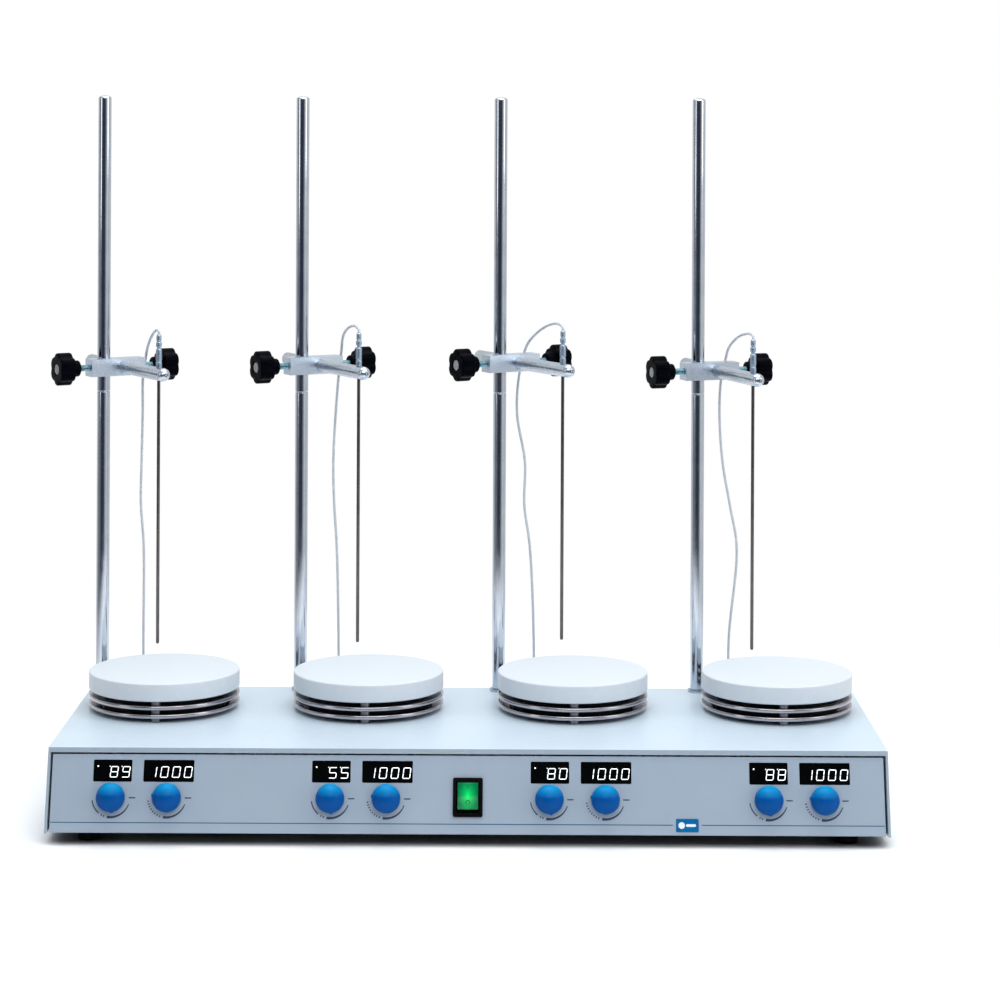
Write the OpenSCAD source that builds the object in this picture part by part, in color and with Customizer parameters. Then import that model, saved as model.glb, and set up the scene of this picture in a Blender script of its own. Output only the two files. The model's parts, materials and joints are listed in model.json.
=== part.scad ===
// Four-place heating magnetic stirrer with a support rod, boss head and probe at each place.
// X runs to the right, Y to the back and Z up. The origin is the centre of the housing's
// footprint on the bench. All sizes are in millimetres.

/* [Housing] */
// Width of the housing over its side sheets
body_w = 708; // [702:1:740]
// Depth of the housing at the bench end of its sides
body_d = 261; // [255:1:280]
// Height of the housing without its feet
body_h = 67.2; // [66:0.2:70]
// How far the front leans back from bottom to top
front_lean = 21; // [16:0.5:24]
// Thickness of the painted sheet metal
sheet = 2; // [1.5:0.1:2.2]
// Height of the rubber feet
foot_h = 10; // [8:0.5:14]
// Diameter of a rubber foot where it meets the housing
foot_d = 22; // [16:1:26]

/* [Places] */
// Distance between neighbouring stirring places
pitch = 184; // [180:0.5:186]
// Distance of the plate centres behind the middle of the housing
plate_y = 46; // [40:1:48]
// Diameter of a ceramic plate
plate_d = 135; // [125:1:138]
// Thickness of a ceramic plate
plate_t = 15.8; // [10:0.1:18]
// Diameter of the steel rings under a plate
ring_d = 135; // [125:1:138]
// Thickness of a steel ring
ring_t = 3.5; // [2.5:0.1:4]
// Height of the gaps between cover, rings and plate
ring_gap = 3.9; // [3:0.1:5]
// Diameter of the black heater body inside the rings
heater_d = 108; // [100:1:112]

/* [Control panel] */
// Depth of the panel behind the edges of the cover
panel_recess = 1.5; // [1:0.1:2]
// Height of the knob centres along the slope of the panel
knob_up = 29.5; // [28:0.1:30]
// Distance of each knob from the middle of its place
knob_off = 23.5; // [20:0.5:26]
// Diameter of a control knob
knob_d = 24; // [20:0.5:24]
// Depth of a control knob
knob_h = 14; // [12:0.5:18]
// Height of the lower edge of the display windows along the slope
window_up = 42.5; // [42.5:0.1:43.5]
// Height of a display window along the slope
window_h = 18.1; // [16:0.1:19]
// Width of a temperature display window
temp_window_w = 32.5; // [28:0.1:34]
// Width of a speed display window
speed_window_w = 42.6; // [38:0.1:44]
// Height of the middle of the mains switch along the slope
switch_up = 31; // [29:0.5:32]
// Width of the frame round the mains switch
switch_w = 25; // [25:0.5:28]
// Height of the frame round the mains switch
switch_h = 32; // [32:0.5:36]
// How far the rocker tilts each way from level
rocker_tilt = 7; // [5:0.5:8]

/* [Support rods] */
// Diameter of a support rod
rod_d = 12; // [10:0.5:12]
// Height of the top of the rods above the bench
rod_top = 628.5; // [560:0.5:640]
// Height of the screwed joint between the two rod halves
rod_joint_z = 354; // [330:0.5:354]
// Distance of a rod to the left of its plate centre
rod_off = 67; // [64:0.5:67]
// Distance of a rod behind the middle of the housing
rod_y = 118.5; // [115:0.5:118.5]

/* [Boss heads and probes] */
// Height of each boss head above the bench
head_z = [376, 378.5, 381.5, 375]; // [372:0.5:400]
// Angle that each boss head is turned about its rod
head_yaw = [32, 29.5, 30, 19.5]; // [18:0.5:36]
// Side of the square boss head
head_w = 16; // [16:0.5:20]
// Distance from the rod to the left end of the head
head_left = 15; // [14:0.5:18]
// Distance from the rod to the right end of the head
head_right = 38.5; // [36:0.5:50]
// Distance from the rod to the bar along the head
bar_off = 17; // [15:0.5:20]
// Diameter of the horizontal bar
bar_d = 12; // [10:0.5:12]
// Length of the bar in front of the head
bar_front = 100; // [80:1:110]
// Length of the bar behind the head
bar_rear = 68; // [60:1:90]
// Distance from the head to the probe along the bar
probe_off = 84.5; // [70:0.5:90]
// Diameter of the probe sheath
probe_d = 3; // [2:0.1:3.5]
// Length of the probe below the bar centre
probe_len = 244; // [180:1:250]
// Diameter of the probe cable
cable_d = 2; // [1.5:0.1:3]
// Diameter of a thumb screw's star head
star_d = 30; // [26:1:36]

/* [Hidden] */

$fn = 64;
places = 4;
gap = 0.2; // fitting gap between pieces that don't move
run = 0.05; // radial running clearance
eps = 0.01;

lean_a = atan(front_lean / body_h);
cover_z0 = foot_h;
cover_z1 = foot_h + body_h;
y_back = body_d / 2;
y_front = -body_d / 2;
lip_h = 3.9;
edge_gap = 2;
top_gap = 1.2; // gap between the panel and the cover's lip
panel_top = (body_h - lip_h - top_gap) / cos(lean_a);
panel_w = body_w - 2 * (sheet + edge_gap);

ring_z = [cover_z1 + ring_gap, cover_z1 + 2 * ring_gap + ring_t];
plate_z0 = ring_z[1] + ring_t + ring_gap;
plate_z1 = plate_z0 + plate_t;
spacer_r = 4.3;
spacer_at = 60;

bush_r = 4.5;
spindle_r = 3;
spindle_back = 14; // length of a spindle behind its knob
nub_r = 1.6;
nub_h = 6;
temp_turn = 187; // angle of the pointer from twelve o'clock, counter-clockwise
speed_turn = 80;
pot_front = 9;
pot_t = 8;
pot_w = 16;
board_depth = pot_front + pot_t;
board_t = 1.6;
board_x = 180;
board_up = 37;
board_w = 324;
board_h = 48;

pivot_depth = 5;
pivot_r = 1.5;
pin_l = 20.6; // length of the pin that the rocker tilts on
rocker_w = 18.5;
rocker_l = 22.4;
switch_wall_w = 22;
switch_wall_h = 28;

rod_bottom = 42;
socket_bottom = 38;
collar_h = 2.5;
collar_r = 8;
socket_r = 7;
nut_r = 8.4;
nut_h = 6;

star_t = 14;
lobe_gap_r = 5; // radius of the hollows between the star's lobes
hub_r = 7.5;
hub_l = 8;
stud_r = 3;
stud_out = 10;

motor_r = 21;
motor_top = 47.5;
shaft_r = 2;
shaft_z0 = 28;
rotor_z = 60;
rotor_t = 4;
magnet_t = 8;

cable_end_z = 45;
plug_socket_r = 5;
temp_window_x = -23.05;
speed_window_x = 24.2;
window_t = 2;
inlet_x = 290;
inlet_z = 44;
tray_front = 5; // distance from the housing's front edge to the tray
flange_h = 14;
foot_stem_r = 3;
foot_in = 34; // distance of the feet from the housing's sides
foot_y = [-105, 108];
wire_r = 5; // hole for the wires to a heater
heater_r = heater_d / 2;
pocket_h = 8; // depth of the pocket for the heating disc, and its distance from the rim
cable_r = cable_d / 2;
gland_h = 30;
spare_back = 22; // distance of the spare probe hole behind the probe
cable_bow = [-1.5, -4, -6, -10]; // sideways bow of each hanging cable
slot_w = 4; // width of a cooling slot
slot_step = 9; // distance between cooling slots
slot_columns = 10; // columns of cooling slots in the back sheet
slot_x = (cable_x(2) + cable_x(3)) / 2; // middle of those columns, halfway between two probe sockets
inlet_w = 28;
inlet_h = 20;
inlet_depth = 22;
screw_up = 9;
side_screw_y = [-70, 80];
back_screw_x = [-330, -185, 0, 185, 330];
screw_r = 1.5;
screw_head_r = 3;
screw_head_h = 1.8;
cut = 20; // length of a cut through sheet metal
spindle_cut = 30; // length of a cut along a whole knob spindle

function place_x(i) = (i - (places + 1) / 2) * pitch;
function rod_x(i) = place_x(i) - rod_off;
// Along the head, and along the bar towards its rounded tip
function along(i) = [cos(head_yaw[i - 1]), sin(head_yaw[i - 1]), 0];
function ahead(i) = [sin(head_yaw[i - 1]), -cos(head_yaw[i - 1]), 0];
function head_at(i) = [rod_x(i), rod_y, head_z[i - 1]];
function probe_at(i) = head_at(i) + bar_off * along(i) + probe_off * ahead(i);
function cable_x(i) = place_x(i) - 34;

// Moves children to the panel's outer face: x across, y up the slope, z out of the panel
module on_panel(x, up, out = 0)
{
    translate([x, y_front, cover_z0])
        rotate([90 - lean_a, 0, 0])
            translate([0, up, out - panel_recess])
                children();
}

// Moves children to a boss head: x along the head, y away from the bar's tip, z up
module on_head(i)
{
    translate(head_at(i))
        rotate([0, 0, head_yaw[i - 1]])
            children();
}

module each_place()
{
    for (i = [1 : places])
        translate([place_x(i), 0, 0])
            children();
}

module rounded_rect(w, h, r)
{
    for (x = [-1, 1], y = [-1, 1])
        translate([x * (w / 2 - r), y * (h / 2 - r)])
            circle(r);
    square([w - 2 * r, h], center = true);
    square([w, h - 2 * r], center = true);
}

// A block with the housing's side view, across the housing's whole width
module slab()
{
    rotate([90, 0, 90])
        translate([0, 0, -body_w / 2])
            linear_extrude(body_w)
                polygon([
                    [y_front, cover_z0], [y_front + front_lean, cover_z1],
                    [y_back, cover_z1], [y_back, cover_z0]
                ]);
}

// Places of the screws that hold the cover, with z pointing out of the cover
module screw_places(out = 0)
{
    for (side = [-1, 1], y = side_screw_y)
        translate([side * (body_w / 2 + out), y, cover_z0 + screw_up])
            rotate([0, side * 90, 0])
                children();
    for (x = back_screw_x)
        translate([x, y_back + out, cover_z0 + screw_up])
            rotate([-90, 0, 0])
                children();
}

module box_between(low, high)
{
    translate(low)
        cube(high - low);
}

module top_cover()
{
    half = body_w / 2;
    color("lightsteelblue")
    difference()
    {
        intersection()
        {
            slab();
            union()
            {
                box_between([-half, y_front, cover_z1 - sheet], [half, y_back, cover_z1]);
                box_between([-half, y_back - sheet, cover_z0], [half, y_back, cover_z1]);
                box_between([-half, y_front, cover_z1 - lip_h],
                    [half, y_front + front_lean + sheet, cover_z1]);
                for (side = [-1, 1])
                    translate([side * (half - sheet / 2), 0, cover_z0 + body_h / 2])
                        cube([sheet, body_d, body_h], center = true);
            }
        }
        for (i = [1 : places])
        {
            translate([rod_x(i), rod_y, cover_z1 - cut / 2])
                cylinder(r = socket_r + gap, h = cut);
            translate([place_x(i), plate_y, cover_z1 - cut / 2])
                cylinder(r = wire_r, h = cut);
            translate([cable_x(i), y_back, cable_end_z])
                rotate([90, 0, 0])
                    cylinder(r = plug_socket_r + gap, h = cut, center = true);
        }
        screw_places(-cut / 2)
            cylinder(r = screw_r + 0.1, h = cut);
        translate([inlet_x, y_back, inlet_z])
            cube([inlet_w + 2 * gap, cut, inlet_h + 2 * gap], center = true);
        // Rows of cooling slots in the back sheet
        for (row = [0 : 2], column = [0 : slot_columns - 1])
            translate([slot_x + (column - (slot_columns - 1) / 2) * slot_step, y_back, 30 + row * 11])
                cube([slot_w, cut, 6], center = true);
    }
}

module front_panel()
{
    half = panel_w / 2;
    color("lightslategray")
    difference()
    {
        union()
        {
            on_panel(-half, 1, -sheet)
                cube([panel_w, panel_top - 1, sheet]);
            // Flanges folded back at the top and at the bottom
            on_panel(-half, panel_top - sheet, -flange_h)
                cube([panel_w, sheet, flange_h]);
            box_between([-half, y_front + 3.5, cover_z0 + sheet + gap],
                [half, y_front + 4 + flange_h, cover_z0 + 2 * sheet + gap]);
        }
        for (i = [1 : places])
        {
            for (side = [-1, 1])
                on_panel(place_x(i) + side * knob_off, knob_up, -cut / 2)
                    cylinder(r = bush_r + gap, h = cut);
            on_panel(place_x(i) + temp_window_x, window_up + window_h / 2, -cut / 2)
                linear_extrude(cut)
                    rounded_rect(temp_window_w, window_h, 1);
            on_panel(place_x(i) + speed_window_x, window_up + window_h / 2, -cut / 2)
                linear_extrude(cut)
                    rounded_rect(speed_window_w, window_h, 1);
        }
        on_panel(0, switch_up, -cut / 2)
            linear_extrude(cut)
                square([switch_wall_w + 2 * gap, switch_wall_h + 2 * gap], center = true);
    }
}

module base_tray()
{
    half = body_w / 2 - sheet - gap;
    back = y_back - sheet - gap;
    front = y_front + tray_front;
    z0 = cover_z0;
    color("silver")
    difference()
    {
        union()
        {
            box_between([-half, front, z0], [half, back, z0 + sheet]);
            box_between([-half, back - sheet, z0], [half, back, z0 + flange_h]);
            for (side = [-1, 1])
                translate([side * (half - sheet / 2), flange_h + 6, z0 + flange_h / 2])
                    cube([sheet, 2 * (back - flange_h - 6), flange_h], center = true);
        }
        screw_places(-cut / 2)
            cylinder(r = screw_r + run, h = cut);
        foot_places()
            translate([0, 0, z0 - cut / 2])
                cylinder(r = foot_stem_r + gap, h = cut);
        // Rows of air slots under each motor
        for (i = [1 : places], row = [-2 : 2], side = [-1, 1])
            translate([place_x(i) + side * 46, plate_y + row * slot_step, z0])
                cube([24, slot_w, cut], center = true);
    }
}

module foot_places()
{
    for (x = [-1, 1] * (body_w / 2 - foot_in), y = foot_y)
        translate([x, y, 0])
            children();
}

module rubber_feet()
{
    color("dimgray")
    foot_places()
    {
        cylinder(d1 = foot_d - 4, d2 = foot_d, h = foot_h);
        translate([0, 0, foot_h - eps])
            cylinder(r = foot_stem_r, h = sheet + 1);
        translate([0, 0, foot_h + sheet + 0.5])
            cylinder(r = foot_stem_r + 1.5, h = 2);
    }
}

module cover_screws()
{
    color("gainsboro")
    screw_places()
    {
        difference()
        {
            cylinder(r = screw_head_r, h = screw_head_h);
            translate([0, 0, screw_head_h - 1])
                cylinder(r = 1.2, h = 2, $fn = 6);
        }
        translate([0, 0, -8])
            cylinder(r = screw_r, h = 8 + eps);
    }
}

module hot_plates()
{
    color("white")
    each_place()
        translate([0, plate_y, plate_z0])
            rotate_extrude()
                polygon([
                    [0, 5], [heater_r - 6, 5], [heater_r - 6, 0],
                    [plate_d / 2 - 0.6, 0], [plate_d / 2, 0.6],
                    [plate_d / 2, plate_t - 1.2], [plate_d / 2 - 1.2, plate_t],
                    [0, plate_t]
                ]);
}

module spacer_spots()
{
    for (k = [0 : 2])
        rotate([0, 0, 120 * k - 90])
            translate([spacer_at, 0, 0])
                children();
}

module heat_shield_rings()
{
    color("gainsboro")
    each_place()
        for (z = ring_z)
            translate([0, plate_y, z])
                difference()
                {
                    cylinder(d = ring_d, h = ring_t, $fn = 128);
                    translate([0, 0, -1])
                        cylinder(r = heater_r + 1.5, h = ring_t + 2, $fn = 128);
                }
}

module ring_spacers()
{
    color("silver")
    each_place()
        for (z = [cover_z1, ring_z[0] + ring_t, ring_z[1] + ring_t])
            translate([0, plate_y, z])
                spacer_spots()
                    cylinder(r = spacer_r, h = ring_gap);
}

module heater_elements()
{
    color("black")
    each_place()
        translate([0, plate_y, 0])
        {
            difference()
            {
                translate([0, 0, cover_z1])
                    cylinder(r = heater_r, h = plate_z0 - cover_z1);
                translate([0, 0, cover_z1 - 1])
                    cylinder(r = wire_r, h = cut);
                // Pocket for the heating disc
                translate([0, 0, plate_z0 - pocket_h])
                    cylinder(r = heater_r - pocket_h, h = cut);
            }
            translate([0, 0, plate_z0 - pocket_h])
                difference()
                {
                    cylinder(r = heater_r - pocket_h - 0.5, h = pocket_h + 4);
                    translate([0, 0, -1])
                        cylinder(r = wire_r, h = cut);
                }
        }
}

module rod_sockets()
{
    color("silver")
    for (i = [1 : places])
        translate([rod_x(i), rod_y, 0])
        {
            difference()
            {
                union()
                {
                    translate([0, 0, socket_bottom])
                        cylinder(r = socket_r, h = cover_z1 - socket_bottom + 1);
                    translate([0, 0, cover_z1])
                        cylinder(r = collar_r, h = collar_h);
                }
                translate([0, 0, rod_bottom])
                    cylinder(r = rod_d / 2 + run, h = cover_z1);
            }
            // Nut that clamps the socket from inside the cover
            translate([0, 0, cover_z1 - sheet - nut_h])
                difference()
                {
                    rotate([0, 0, 30])
                        cylinder(r = nut_r, h = nut_h, $fn = 6);
                    translate([0, 0, -1])
                        cylinder(r = socket_r + run, h = nut_h + 2);
                }
        }
}

module support_rod(i)
{
    r = rod_d / 2;
    tip = 10; // radius of the domed tip
    pin_h = 14;
    pin_r = 3;
    color("silver")
    translate([rod_x(i), rod_y, 0])
    {
        difference()
        {
            translate([0, 0, rod_bottom + run])
                cylinder(r = r, h = rod_joint_z - rod_bottom - run - 0.3);
            translate([0, 0, rod_joint_z - pin_h - 2])
                cylinder(r = pin_r + run, h = pin_h + 4);
        }
        translate([0, 0, rod_joint_z - pin_h])
            cylinder(r = pin_r, h = pin_h + 1);
        intersection()
        {
            translate([0, 0, rod_joint_z])
                cylinder(r = r, h = rod_top - rod_joint_z);
            translate([0, 0, rod_top - tip])
                union()
                {
                    sphere(tip);
                    translate([0, 0, -rod_top])
                        cylinder(r = r + 1, h = rod_top);
                }
        }
    }
}

module boss_head(i)
{
    color("silver")
    on_head(i)
        difference()
        {
            box_between([-head_left, -head_w / 2, -head_w / 2], [head_right, head_w / 2, head_w / 2]);
            translate([0, 0, -head_w])
                cylinder(r = rod_d / 2 + run, h = 2 * head_w);
            translate([bar_off, -head_w, 0])
                rotate([-90, 0, 0])
                    cylinder(r = bar_d / 2 + run, h = 2 * head_w);
            translate([-head_left - 1, 0, 0])
                rotate([0, 90, 0])
                    cylinder(r = stud_r + run, h = head_left);
            translate([bar_off, 0, 0])
                rotate([0, 90, 0])
                    cylinder(r = stud_r + run, h = head_right);
        }
}

// A star knob on its stud: z points out of the head, the stud's end is at 0
module thumb_screw(inside)
{
    knob_z = inside + stud_out;
    lobes = 6;
    cylinder(r = stud_r, h = knob_z + 12);
    difference()
    {
        translate([0, 0, knob_z])
        {
            cylinder(r = hub_r, h = hub_l + 1);
            translate([0, 0, hub_l])
                linear_extrude(star_t)
                    difference()
                    {
                        circle(d = star_d);
                        for (k = [1 : lobes])
                            rotate(360 / lobes * (k + 0.5))
                                translate([star_d / 2 + 2.2, 0])
                                    circle(lobe_gap_r);
                    }
        }
        translate([0, 0, knob_z - 1])
            cylinder(r = stud_r + run, h = 13.2);
    }
}

module rod_screw(i)
{
    inside = head_left - rod_d / 2 - 0.2;
    color("dimgray")
    on_head(i)
        translate([-rod_d / 2 - 0.2, 0, 0])
            rotate([0, -90, 0])
                thumb_screw(inside);
}

module arm_screw(i)
{
    start = bar_off + bar_d / 2 + 0.2;
    color("dimgray")
    on_head(i)
        translate([start, 0, 0])
            rotate([0, 90, 0])
                thumb_screw(head_right - start);
}

module probe_arm(i)
{
    r = bar_d / 2;
    color("silver")
    on_head(i)
        translate([bar_off, 0, 0])
            difference()
            {
                union()
                {
                    translate([0, bar_rear, 0])
                        rotate([90, 0, 0])
                            cylinder(r = r, h = bar_rear + bar_front - r);
                    translate([0, r - bar_front, 0])
                        sphere(r);
                }
                for (back = [0, spare_back])
                    translate([0, back - probe_off, -head_w])
                        cylinder(r = probe_d / 2 + run, h = 2 * head_w);
            }
}

module probe(i)
{
    top = bar_d / 2;
    color("gray")
    translate(probe_at(i))
    {
        translate([0, 0, -probe_len + 1])
            cylinder(r = probe_d / 2, h = probe_len + top);
        translate([0, 0, -probe_len + probe_d / 2])
            sphere(probe_d / 2);
        // Gland: body, collar, neck and ferrule
        translate([0, 0, top])
            cylinder(r = 2.75, h = 17);
        translate([0, 0, top + 17])
            cylinder(r = 1.8, h = 9);
        translate([0, 0, top + 19])
            cylinder(r = 2.6, h = 4);
        translate([0, 0, top + 24.5])
            cylinder(r = 2.3, h = gland_h - 24.5);
    }
}

// Points of the cable from the probe over the head and down to its plug
function cable_points(i) =
    let (h = head_at(i), u = along(i), b = -ahead(i), s = [cable_bow[i - 1], 0, 0])
    [
        probe_at(i) + [0, 0, bar_d / 2 + gland_h + cable_r],
        probe_at(i) + 4 * b + [-2, 0, bar_d / 2 + gland_h + 5],
        h + 44 * u - 34 * b + s / 2 + [0, 0, 34],
        h + 46 * u + 2 * b + s / 2 + [0, 0, 22],
        h + 46 * u + 14 * b + s + [0, 0, 2],
        [h[0] + 33 + s[0], y_back + 24, h[2] - 60],
        [cable_x(i) - 1, y_back + 24, h[2] - 150],
        [cable_x(i), y_back + 26, 110],
        [cable_x(i), y_back + 26, cable_end_z + 14],
        [cable_x(i), y_back + 20, cable_end_z]
    ];

module probe_cable(i)
{
    p = cable_points(i);
    color("gainsboro")
    {
        for (k = [0 : len(p) - 2])
            hull()
            {
                translate(p[k])
                    sphere(cable_r, $fn = 12);
                translate(p[k + 1])
                    sphere(cable_r, $fn = 12);
            }
        translate([cable_x(i), y_back + 3, cable_end_z])
            rotate([-90, 0, 0])
                cylinder(r = 4, h = 16, $fn = 24);
    }
}

module probe_sockets()
{
    color("silver")
    for (i = [1 : places])
        translate([cable_x(i), y_back, cable_end_z])
            rotate([-90, 0, 0])
            {
                cylinder(r = plug_socket_r + 2, h = 2);
                translate([0, 0, -12])
                    cylinder(r = plug_socket_r, h = 12 + eps);
            }
}

module control_knob(i, side, turn)
{
    dome_r = 12.5;
    socket_h = 9; // depth of the socket for the spindle
    on_panel(place_x(i) + side * knob_off, knob_up, 1)
    {
        difference()
        {
            union()
            {
                intersection()
                {
                    cylinder(d = knob_d, h = knob_h);
                    translate([0, 0, knob_h - dome_r])
                        sphere(dome_r);
                }
                // Pointer nub
                rotate([0, 0, turn])
                    translate([0, knob_d / 2 - 0.6, 0])
                        cylinder(r = nub_r, h = nub_h);
            }
            translate([0, 0, -1])
                cylinder(r = spindle_r + run, h = socket_h);
        }
        translate([0, 0, -spindle_back])
            cylinder(r = spindle_r, h = spindle_back + socket_h - 1.5);
    }
}

module temp_knob(i)
{
    color("royalblue")
        control_knob(i, -1, temp_turn);
}

module speed_knob(i)
{
    color("royalblue")
        control_knob(i, 1, speed_turn);
}

module knob_potentiometers()
{
    color("silver")
    for (i = [1 : places], side = [-1, 1])
        on_panel(place_x(i) + side * knob_off, knob_up)
            difference()
            {
                union()
                {
                    translate([0, 0, -pot_front])
                        cylinder(r = bush_r, h = pot_front);
                    translate([0, 0, -pot_front - pot_t / 2])
                        cube([pot_w, pot_w, pot_t], center = true);
                }
                translate([0, 0, -spindle_cut / 2])
                    cylinder(r = spindle_r + run, h = spindle_cut);
            }
}

module display_windows()
{
    color("black")
    for (i = [1 : places])
    {
        on_panel(place_x(i) + temp_window_x, window_up + window_h / 2, -window_t - gap)
            linear_extrude(window_t)
                rounded_rect(temp_window_w - gap, window_h - gap, 1);
        on_panel(place_x(i) + speed_window_x, window_up + window_h / 2, -window_t - gap)
            linear_extrude(window_t)
                rounded_rect(speed_window_w - gap, window_h - gap, 1);
    }
}

module display_modules()
{
    depth = board_depth - window_t - 2 * gap;
    color("darkslategray")
    for (i = [1 : places], w = [[temp_window_x, temp_window_w], [speed_window_x, speed_window_w]])
        on_panel(place_x(i) + w[0], window_up + window_h / 2, -board_depth + depth / 2)
            cube([w[1] - 1, window_h - 1.6, depth - gap], center = true);
}

module control_board()
{
    color("seagreen")
    for (side = [-1, 1])
        on_panel(side * board_x, board_up, -board_depth - board_t / 2 - gap)
            cube([board_w, board_h, board_t], center = true);
}

module switch_body()
{
    cavity_w = rocker_w + 0.8;
    cavity_h = rocker_l + 3;
    body_depth = 18;
    color("black")
    on_panel(0, switch_up)
        difference()
        {
            union()
            {
                linear_extrude(2)
                    rounded_rect(switch_w, switch_h, 1.5);
                translate([0, 0, -body_depth / 2])
                    cube([switch_wall_w, switch_wall_h, body_depth + eps], center = true);
            }
            translate([0, 0, 3 - body_depth])
                linear_extrude(2 * body_depth)
                    square([cavity_w, cavity_h], center = true);
            translate([0, 0, -pivot_depth])
                rotate([0, 90, 0])
                    cylinder(r = pivot_r + run, h = pin_l + 0.4, center = true);
        }
}

module power_rocker()
{
    half = rocker_l / 2;
    color("limegreen")
    on_panel(0, switch_up, -pivot_depth)
        rotate([-rocker_tilt, 0, 0])
        {
            translate([-rocker_w / 2, 0, 0])
                rotate([90, 0, 90])
                    linear_extrude(rocker_w)
                        polygon([
                            [-half, 8.5], [0, 6.6], [half, 8.5],
                            [half - 2.5, -2], [-half + 2.5, -2]
                        ]);
            rotate([0, 90, 0])
                cylinder(r = pivot_r, h = pin_l, center = true);
        }
}

module power_inlet()
{
    cavity_w = 24.6;
    cavity_h = 16.6;
    cavity_depth = 17;
    color("black")
    translate([inlet_x, y_back, inlet_z])
        rotate([-90, 0, 0])
        {
            difference()
            {
                union()
                {
                    linear_extrude(2.5)
                        rounded_rect(50, 24, 4);
                    translate([0, 0, -inlet_depth / 2])
                        cube([inlet_w, inlet_h, inlet_depth + eps], center = true);
                }
                translate([0, 0, 2.5 - cavity_depth])
                    linear_extrude(cavity_depth + 1)
                        square([cavity_w, cavity_h], center = true);
            }
            for (pin = [[-7, -2], [0, 2], [7, -2]])
                translate([pin[0], pin[1], 2.5 - cavity_depth + 7])
                    cube([2, 4, 14], center = true);
            for (side = [-1, 1])
                translate([side * 20, 0, 2.5])
                    cylinder(r1 = 3, r2 = 2.2, h = 1);
        }
}

module stirrer_motors()
{
    color("gray")
    each_place()
        translate([0, plate_y, cover_z0 + sheet])
            difference()
            {
                union()
                {
                    translate([0, 0, 1])
                        cube([50, 50, 2], center = true);
                    translate([0, 0, 1])
                        cylinder(r = motor_r, h = motor_top - cover_z0 - sheet - 1);
                }
                translate([0, 0, 14])
                    cylinder(r = shaft_r + run, h = 40);
            }
}

module drive_magnet(i)
{
    color("firebrick")
    translate([place_x(i), plate_y, 0])
    {
        translate([0, 0, shaft_z0])
            cylinder(r = shaft_r, h = rotor_z - shaft_z0 + 1);
        translate([0, 0, rotor_z - 10])
            cylinder(r = 6, h = 10);
        translate([0, 0, rotor_z])
            cylinder(r = 28, h = rotor_t);
        for (side = [-1, 1])
            translate([side * 18, 0, rotor_z + rotor_t + magnet_t / 2])
                cube([12, 20, magnet_t - 2 * eps], center = true);
    }
}

module power_supply()
{
    color("goldenrod")
    translate([0, 40, cover_z0 + sheet + 4])
    {
        translate([-55, -35, 0])
            cube([110, 70, 2]);
        translate([-48, -28, 2 - eps])
            cube([44, 40, 34]);
        for (x = [10, 28], y = [-18, 2])
            translate([x, y, 2 - eps])
                cylinder(r = 7, h = 24);
        translate([10, 16, 2 - eps])
            cube([36, 12, 18]);
        for (x = [-50, 50], y = [-30, 30])
            translate([x, y, -4])
                cylinder(r = 2.5, h = 4 + eps);
    }
}

top_cover();
front_panel();
base_tray();
rubber_feet();
cover_screws();
hot_plates();
heat_shield_rings();
ring_spacers();
heater_elements();
rod_sockets();
probe_sockets();
knob_potentiometers();
display_windows();
display_modules();
control_board();
switch_body();
power_rocker();
power_inlet();
stirrer_motors();
power_supply();
support_rod(1);  // support_rod_1
support_rod(2);  // support_rod_2
support_rod(3);  // support_rod_3
support_rod(4);  // support_rod_4
boss_head(1);  // boss_head_1
boss_head(2);  // boss_head_2
boss_head(3);  // boss_head_3
boss_head(4);  // boss_head_4
rod_screw(1);  // rod_screw_1
rod_screw(2);  // rod_screw_2
rod_screw(3);  // rod_screw_3
rod_screw(4);  // rod_screw_4
arm_screw(1);  // arm_screw_1
arm_screw(2);  // arm_screw_2
arm_screw(3);  // arm_screw_3
arm_screw(4);  // arm_screw_4
probe_arm(1);  // probe_arm_1
probe_arm(2);  // probe_arm_2
probe_arm(3);  // probe_arm_3
probe_arm(4);  // probe_arm_4
probe(1);  // probe_1
probe(2);  // probe_2
probe(3);  // probe_3
probe(4);  // probe_4
probe_cable(1);  // probe_cable_1
probe_cable(2);  // probe_cable_2
probe_cable(3);  // probe_cable_3
probe_cable(4);  // probe_cable_4
temp_knob(1);  // temp_knob_1
temp_knob(2);  // temp_knob_2
temp_knob(3);  // temp_knob_3
temp_knob(4);  // temp_knob_4
speed_knob(1);  // speed_knob_1
speed_knob(2);  // speed_knob_2
speed_knob(3);  // speed_knob_3
speed_knob(4);  // speed_knob_4
drive_magnet(1);  // drive_magnet_1
drive_magnet(2);  // drive_magnet_2
drive_magnet(3);  // drive_magnet_3
drive_magnet(4);  // drive_magnet_4
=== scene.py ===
"""Looks of a four-place heating magnetic stirrer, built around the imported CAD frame.

The frame is in metres: X right, Y back, Z up. What is multiplied by MM, such as every outline and
row of points, is in millimetres.
"""
import json
import math

import bpy
from mathutils import Matrix, Vector


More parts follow.
